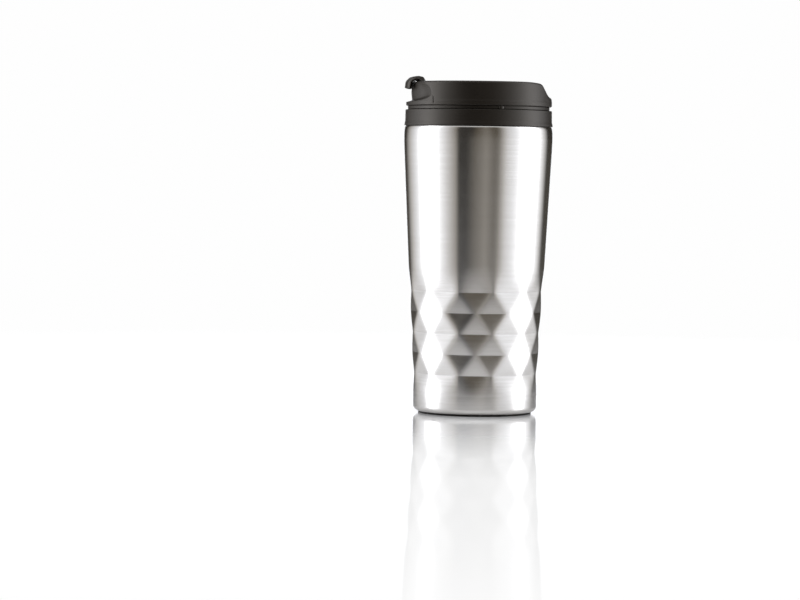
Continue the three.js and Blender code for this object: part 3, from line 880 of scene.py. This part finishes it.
def flap_surface(across=64):
    """A rounded section carried along the plate's path. Around each section the parameter runs
    over the upper face, down one side, back under and up the other. Past the tongue the path bends
    round the lid's axis, so a point at side distance y lies at x = -sqrt(rho^2 - y^2). The thumb
    recess sinks the upper face inside half an ellipse that opens at the hinge ridge."""
    upper, lower = flap_path()
    half = across // 2
    # Side position and height share of each point around the section, with its edges rounded.
    face = np.linspace(-1, 1, half)
    side = np.concatenate([face, -face])
    inset = 0.03
    edge_round = np.sqrt(np.clip(1 - np.clip((np.abs(side) - (1 - inset)) / inset, 0, 1) ** 2, 0, 1))
    lift = np.concatenate([np.ones(half), -np.ones(half)]) * (0.12 + 0.88 * edge_round)
    middle, spread = (upper + lower) / 2, (upper - lower) / 2
    rho = middle[:, :1] + spread[:, :1] * lift
    z = middle[:, 1:] + spread[:, 1:] * lift
    bend = smooth(20.0, 28.0, rho)
    x = -rho
    for _ in range(3):
        y = side * (channel_half(x) - FLAP_GAP)
        around = np.sqrt(np.maximum(rho**2 - y**2, 1.0))
        x = -(rho * (1 - bend) + around * bend)
    y = side * (channel_half(x) - FLAP_GAP)
    on_top = (lift > 0) * smooth(1.0, 2.6, rho) * (1 - smooth(27.0, 28.0, rho))
    q = np.sqrt((np.maximum(rho - 1.0, 0) / THUMB_REACH) ** 2 + (y / THUMB_HALF) ** 2)
    bowl = THUMB_STEP * (1 - smooth(0.80, 0.985, q)) + THUMB_DISH * (1 - np.clip(q, 0, 1) ** 2)
    lip = THUMB_LIP * np.exp(-(((q - 1.03) / 0.035) ** 2))
    z = z - on_top * (bowl * (q < 1.0) - lip)
    vertices = np.stack([x, y, z], -1).reshape(-1, 3)
    return vertices, outward(vertices, closed_sweep(len(rho), across))


def closed_sweep(stations, across):
    """Faces of a swept section whose first and last stations are closed strips."""
    faces = grid_faces(stations, across)
    half = across // 2
    k = np.arange(half - 1)
    start = np.stack([k, k + 1, across - 2 - k, across - 1 - k], 1)
    end = (stations - 1) * across + start[:, ::-1]
    return faces + start.tolist() + end.tolist()


# ------------------------------------------------------------------ small parts

SEAL_FINS = (153.7, 156.7, 159.7)


def laid_on_hinge(vertices):
    """A piece turned about Z, laid along Y on the flap's hinge axis."""
    return vertices[:, [0, 2, 1]] * [1, 1, -1] + [HINGE_X, 0, HINGE_Z]


def over_sip_hole(vertices):
    """A piece of radius 1 stretched to the stopper's oval, at its place under the flap."""
    size, middle = STOPPER_HIGH - STOPPER_LOW, (STOPPER_LOW + STOPPER_HIGH) / 2
    return vertices * [size.x / 2, size.y / 2, 1] + [middle.x, middle.y, 0]


# ------------------------------------------------------------------ properties

# Where the camera looks, as turns to the right, upwards and about its line of sight.
CAMERA_YAW, CAMERA_PITCH, CAMERA_ROLL = (math.radians(turn) for turn in (-1.424, -2.422, -0.77))


class TumblerFinish(bpy.types.PropertyGroup):
    """Colours and finishes."""

    steel_light: StringProperty(
        name="Steel, bright lines", description="The brushing's bright lines", default="cfcdcb"
    )
    steel_dark: StringProperty(
        name="Steel, dark lines", description="The brushing's dark lines", default="c9c7c4"
    )
    steel_roughness: FloatProperty(
        name="Steel roughness", description="Mean roughness of the steel", default=0.2, min=0.05, max=0.8
    )
    steel_anisotropy: FloatProperty(
        name="Brushing", description="How far it stretches highlights", default=0.75, min=0, max=1
    )
    plastic_colour: StringProperty(
        name="Plastic", description="Colour of the black mouldings", default="15110d"
    )
    table_colour: StringProperty(name="Table", description="Colour of the table", default="f2f2f2")


class TumblerStage(bpy.types.PropertyGroup):
    """Camera and table, in metres."""

    lens: FloatProperty(name="Lens", description="Focal length", default=137.6, min=20, unit="CAMERA")
    distance: FloatProperty(
        name="Camera distance", description="From the mug's axis", default=1.65, unit="LENGTH"
    )
    height: FloatProperty(
        name="Camera height", description="Above the table", default=0.13, unit="LENGTH"
    )
    roll: FloatProperty(
        name="Camera roll", description="About the line of sight", default=CAMERA_ROLL, subtype="ANGLE"
    )
    table_radius: FloatProperty(
        name="Table radius", description="Round table under the mug", default=0.85, unit="LENGTH"
    )


# ------------------------------------------------------------------ operators


class PieceOperator:
    """What the operators that make one piece or one group of pieces share."""

    bl_options = {"REGISTER", "UNDO"}


class TUMBLER_OT_shell(PieceOperator, bpy.types.Operator):
    """Steel shell with its pressed facet band"""

    bl_idname = "tumbler.shell"
    bl_label = "Steel Shell"

    def execute(self, context):
        vertices, faces = shell_surface()
        material = steel(context.scene.tumbler_finish)
        build_mesh("steel_shell", vertices, faces, material, "mug", ["outer_shell"])
        return {"FINISHED"}


class TUMBLER_OT_collar(PieceOperator, bpy.types.Operator):
    """Black band on top of the shell, flared a little at its foot"""

    bl_idname = "tumbler.collar"
    bl_label = "Collar Band"

    def execute(self, context):
        foot, low, high = COLLAR_LOW.z, 154.5, COLLAR_HIGH.z
        corners = [
            (37.5, foot, 0.2), (38.9, foot, 0.2), (38.9, low, 0.1), (39.95, low, 0.18),
            (39.85, low + 0.9, 0.6), (39.5, low + 2.4, 3.0), (39.42, high, 0.45), (38.6, high, 0.15),
            (38.6, 160.9, 0.1), (37.5, 160.9, 0.1),
        ]
        material = black_plastic(context.scene.tumbler_finish)
        build_turned("collar_band", corners, material, "mug", ["collar"])
        return {"FINISHED"}


class TUMBLER_OT_liner(PieceOperator, bpy.types.Operator):
    """Plastic cup that holds the drink"""

    bl_idname = "tumbler.liner"
    bl_label = "Liner Cup"

    def execute(self, context):
        low, top = LINER_LOW.z, LINER_HIGH.z
        corners = [
            (0, low, 0), (28.0, low, 1.5), (30.0, 9.1, 1.5), (36.6, 142.0, 2.0), (37.2, 145.0, 2.0),
            (37.2, 161.2, 0.2), (38.25, 161.2, 0.2), (38.25, top, 0.35), (36.0, top, 0.7),
            (36.0, 148.0, 2.0), (34.8, 142.0, 2.0), (28.3, 11.5, 2.6), (25.2, 8.5, 4.0), (0, 8.5, 0),
        ]
        build_turned("liner_cup", corners, liner_plastic(), "mug", ["inner_liner"])
        return {"FINISHED"}


class TUMBLER_OT_base(PieceOperator, bpy.types.Operator):
    """Rubber pad under the base, and the finishes of the hidden cap and gaskets"""

    bl_idname = "tumbler.base"
    bl_label = "Base Pad"

    def execute(self, context):
        radius, top = PAD_HIGH.x, PAD_HIGH.z
        corners = [
            (0, 0.25, 0), (26.6, 0.25, 0.15), (26.9, 0.0, 0.1), (radius - 0.1, 0.0, 0.25),
            (radius, top, 0.1), (0, top, 0),
        ]
        build_turned("base_pad", corners, pad_rubber(), "mug", ["foot_pad"])
        hidden = {
            "base_cap": black_plastic(context.scene.tumbler_finish),
            "base_gasket": silicone_rubber(),
            "shell_gasket": silicone_rubber(),
        }
        for name, material in hidden.items():
            node = frame["nodes"][name]
            node.data.materials.clear()
            node.data.materials.append(material)
        return {"FINISHED"}


class TUMBLER_OT_lid(PieceOperator, bpy.types.Operator):
    """Lid body with its crescents, channel, bowl, pocket and thumb scoop"""

    bl_idname = "tumbler.lid"
    bl_label = "Lid Body"

    def execute(self, context):
        vertices, faces = lid_surface()
        material = black_plastic(context.scene.tumbler_finish)
        lid = build_mesh("lid_body", vertices, faces, material, "lid", ["lid_shell"])
        cut_sip_hole(lid)
        return {"FINISHED"}


class TUMBLER_OT_plug(PieceOperator, bpy.types.Operator):
    """Plug and neck under the lid, its silicone seal and the hinge pin"""

    bl_idname = "tumbler.plug"
    bl_label = "Plug, Seal and Pin"

    def execute(self, context):
        low, high = PLUG_LOW.z, PLUG_HIGH.z
        corners = [
            (31.6, low, 0.4), (34.2, low, 0.3), (34.2, low + 0.8, 0.2), (33.2, low + 0.8, 0.1),
            (33.2, 163.2, 0.3), (38.1, 163.2, 0.15), (38.1, high + 0.15, 0.1), (31.6, high + 0.15, 0.1),
        ]
        plug, plastic = ["lid_plug"], black_plastic(context.scene.tumbler_finish)
        build_turned("plug_body", corners, plastic, "lid", plug, 720, with_lugs)
        inner, root, tip = 33.5, 34.3, SEAL_HIGH.x
        low, high = SEAL_LOW.z, SEAL_HIGH.z
        corners = [(inner, low, 0.1), (root, low, 0.2)]
        for z in SEAL_FINS:
            corners += [(root, z - 0.7, 0.3), (tip, z - 0.05, 0.2), (tip, z + 0.3, 0.15)]
            corners += [(root, z + 0.7, 0.3)]
        corners += [(root, high, 0.2), (inner, high, 0.1)]
        build_turned("seal_ring", corners, silicone_rubber(), "lid", ["lid_seal"])
        half, radius = PIN_HIGH.y, (PIN_HIGH.z - PIN_LOW.z) / 2
        corners = [(0, -half, 0), (radius, -half, 0.2), (radius, half, 0.2), (0, half, 0)]
        pin = ["flap_hinge_pin"]
        build_turned("hinge_pin", corners, pin_steel(), "lid", pin, 48, laid_on_hinge)
        return {"FINISHED"}


class TUMBLER_OT_flap(PieceOperator, bpy.types.Operator):
    """Flip flap with its thumb recess and finger tab, and the silicone stopper under it"""

    bl_idname = "tumbler.flap"
    bl_label = "Flap and Stopper"

    def execute(self, context):
        vertices, faces = flap_surface()
        material = black_plastic(context.scene.tumbler_finish)
        build_mesh("flap_tongue", vertices, faces, material, "flap", ["flap"])
        low, high = STOPPER_LOW.z, STOPPER_HIGH.z
        # Radii are shares of the stopper's half lengths.
        corners = [
            (0, low, 0), (0.58, low, 0.06), (0.735, 168.9, 0.02), (0.735, 169.3, 0.02),
            (1.0, 169.3, 0.05), (1.0, high, 0.03), (0, high, 0),
        ]
        stopper, rubber = ["flap_stopper"], silicone_rubber()
        build_turned("sip_stopper", corners, rubber, "flap", stopper, 96, over_sip_hole)
        return {"FINISHED"}


class TUMBLER_OT_stage(PieceOperator, bpy.types.Operator):
    """Round opal table, light tent and camera"""

    bl_idname = "tumbler.stage"
    bl_label = "Studio"

    def execute(self, context):
        stage = context.scene.tumbler_stage
        make_table(stage, context.scene.tumbler_finish)
        make_tent(context.scene)
        make_camera(context.scene, stage)
        context.scene.view_settings.view_transform = "Standard"
        return {"FINISHED"}


# ------------------------------------------------------------------ studio

# Brightness of the tent round the horizon, by azimuth in degrees from the camera's side towards
# +X. White backdrop behind with black flags beside it, a large soft box each side, and the dark
# room in front, where the right-hand part is lit a little by the boxes.
TENT = (
    (-180, 1.5), (-168, 1.5), (-163, 0.08), (-149, 0.08), (-131, 0.74), (-118, 1.15), (-107, 1.6),
    (-96, 4.4), (-88, 6.2), (-76, 4.4), (-65, 1.7), (-50, 1.0), (-37, 0.5), (-33.5, 0.38),
    (-31, 0.03), (-18, 0.03), (-5, 0.19), (13, 0.36), (26, 0.2), (32, 0.24), (39, 0.6), (46, 1.0),
    (60, 1.4), (72, 2.0), (86, 4.6), (96, 5.2), (104, 3.6), (112, 1.8), (123, 1.0), (136, 0.08),
    (164, 0.08), (169, 1.5),
)
# The ramp holds a quarter of each brightness, and the walls are four times the ramp.
RAMP_SHARE = 0.25
OVERHEAD = 0.95
ABOVE_HORIZON = 0.14
DARKEST = (0.033, 0.029, 0.024)


def make_tent(scene):
    """World light as a light tent. The azimuth ramp gives the walls of the tent, which are a little
    darker above the horizon than below it, where the floor catches the light, and they pass into
    an even overhead diffuser. Dark cards are warm and bright ones cool."""
    world = bpy.data.worlds.new("light_tent")
    scene.world = world
    world.use_nodes = True
    tree = world.node_tree
    tree.nodes.clear()
    coords = add(tree, "TexCoord")
    axes = add(tree, "SeparateXYZ", Vector=coords.outputs["Generated"])
    flipped = add(tree, "Math", {".operation": "MULTIPLY", "1": -1.0}, in0=axes.outputs["Y"]).outputs[0]
    azimuth = add(tree, "Math", {".operation": "ARCTAN2"}, in0=axes.outputs["X"], in1=flipped)
    span = {"From Min": -math.pi, "From Max": math.pi}
    turn = add(tree, "MapRange", span, Value=azimuth.outputs[0])
    ramp = add(tree, "ValToRGB", Fac=turn.outputs[0])
    stops = ramp.color_ramp.elements
    while len(stops) < len(TENT):
        stops.new(1.0)
    for stop, (angle, level) in zip(stops, TENT):
        stop.position = (angle + 180) / 360
        share = min(level / 1.2, 1.0)
        tint = [1.1 - 0.115 * share, 1.0, 0.85 + 0.19 * share]
        stop.color = [RAMP_SHARE * level * c for c in tint] + [1.0]
    scale = {".operation": "SCALE", "Scale": 1 / RAMP_SHARE}
    walls = add(tree, "VectorMath", scale, in0=ramp.outputs[0]).outputs[0]
    step = {".interpolation_type": "SMOOTHSTEP", "From Min": -0.03, "From Max": 0.04}
    above = add(tree, "MapRange", {**step, "To Max": ABOVE_HORIZON}, Value=axes.outputs["Z"]).outputs[0]
    darker = add(tree, "VectorMath", {".operation": "SUBTRACT"}, in0=walls, in1=above).outputs[0]
    walls = add(tree, "VectorMath", {".operation": "MAXIMUM", "1": DARKEST}, in0=darker).outputs[0]
    step = {".interpolation_type": "SMOOTHSTEP", "From Min": 0.5, "From Max": 0.85}
    overhead = add(tree, "MapRange", step, Value=axes.outputs["Z"]).outputs[0]
    white = [OVERHEAD] * 3 + [1.0]
    mixed = add(tree, "Mix", {".data_type": "RGBA", "7": white}, in0=overhead, in6=walls)
    lit = add(tree, "Background", {"Strength": 1.0}, Color=mixed.outputs[2])
    plain = add(tree, "Background", {"Color": linear("fefefe"), "Strength": 1.0})
    seen = add(tree, "LightPath").outputs["Is Camera Ray"]
    both = add(tree, "MixShader", in0=seen, in1=lit.outputs[0], in2=plain.outputs[0])
    add(tree, "OutputWorld", Surface=both.outputs[0])


def make_table(stage, finish):
    """Round table top: one flat face at height 0, a ring of points on a circle."""
    sides = 128
    angle = np.linspace(0, 2 * math.pi, sides, endpoint=False)
    rim = stage.table_radius * np.stack([np.cos(angle), np.sin(angle), 0 * angle], -1)
    mesh = bpy.data.meshes.new("round_table")
    mesh.from_pydata(rim.tolist(), [], [list(range(sides))])
    mesh.materials.append(glossy_table(finish))
    add_object("round_table", mesh)


def make_camera(scene, stage):
    """Long lens a little above the table, aimed left of the mug so that it stands right of the
    middle, and rolled a little."""
    data = bpy.data.cameras.new("camera")
    data.lens = stage.lens
    data.sensor_width = 36.0
    camera = add_object("camera", data)
    camera.location = (0.0, -stage.distance, stage.height)
    yaw, pitch = CAMERA_YAW, CAMERA_PITCH
    forward = Vector((math.sin(yaw) * math.cos(pitch), math.cos(yaw) * math.cos(pitch), math.sin(pitch)))
    camera.rotation_mode = "QUATERNION"
    aim = forward.to_track_quat("-Z", "Y")
    spin = Matrix.Rotation(stage.roll, 4, forward).to_quaternion()
    camera.rotation_quaternion = spin @ aim
    data.clip_start, data.clip_end = 0.05, 20.0
    scene.camera = camera


# ------------------------------------------------------------------ panel and registration

OPERATORS = (
    TUMBLER_OT_shell,
    TUMBLER_OT_collar,
    TUMBLER_OT_liner,
    TUMBLER_OT_base,
    TUMBLER_OT_lid,
    TUMBLER_OT_plug,
    TUMBLER_OT_flap,
    TUMBLER_OT_stage,
)


class TUMBLER_PT_panel(bpy.types.Panel):
    """Sidebar panel that lists the pieces"""

    bl_idname = "TUMBLER_PT_panel"
    bl_label = "Travel Tumbler"
    bl_space_type = "VIEW_3D"
    bl_region_type = "UI"
    bl_category = "Tumbler"

    def draw(self, context):
        for operator in OPERATORS:
            self.layout.operator(operator.bl_idname)
        for group in (context.scene.tumbler_finish, context.scene.tumbler_stage):
            for name in group.__annotations__:
                self.layout.prop(group, name)


CLASSES = (TumblerFinish, TumblerStage, *OPERATORS, TUMBLER_PT_panel)


def register():
    for item in CLASSES:
        bpy.utils.register_class(item)
    bpy.types.Scene.tumbler_finish = PointerProperty(type=TumblerFinish)
    bpy.types.Scene.tumbler_stage = PointerProperty(type=TumblerStage)


def unregister():
    del bpy.types.Scene.tumbler_stage
    del bpy.types.Scene.tumbler_finish
    for item in reversed(CLASSES):
        bpy.utils.unregister_class(item)


def main():
    """Makes every piece and the studio."""
    register()
    for operator in OPERATORS:
        group, name = operator.bl_idname.split(".")
        getattr(getattr(bpy.ops, group), name)()


if __name__ == "__main__":
    main()
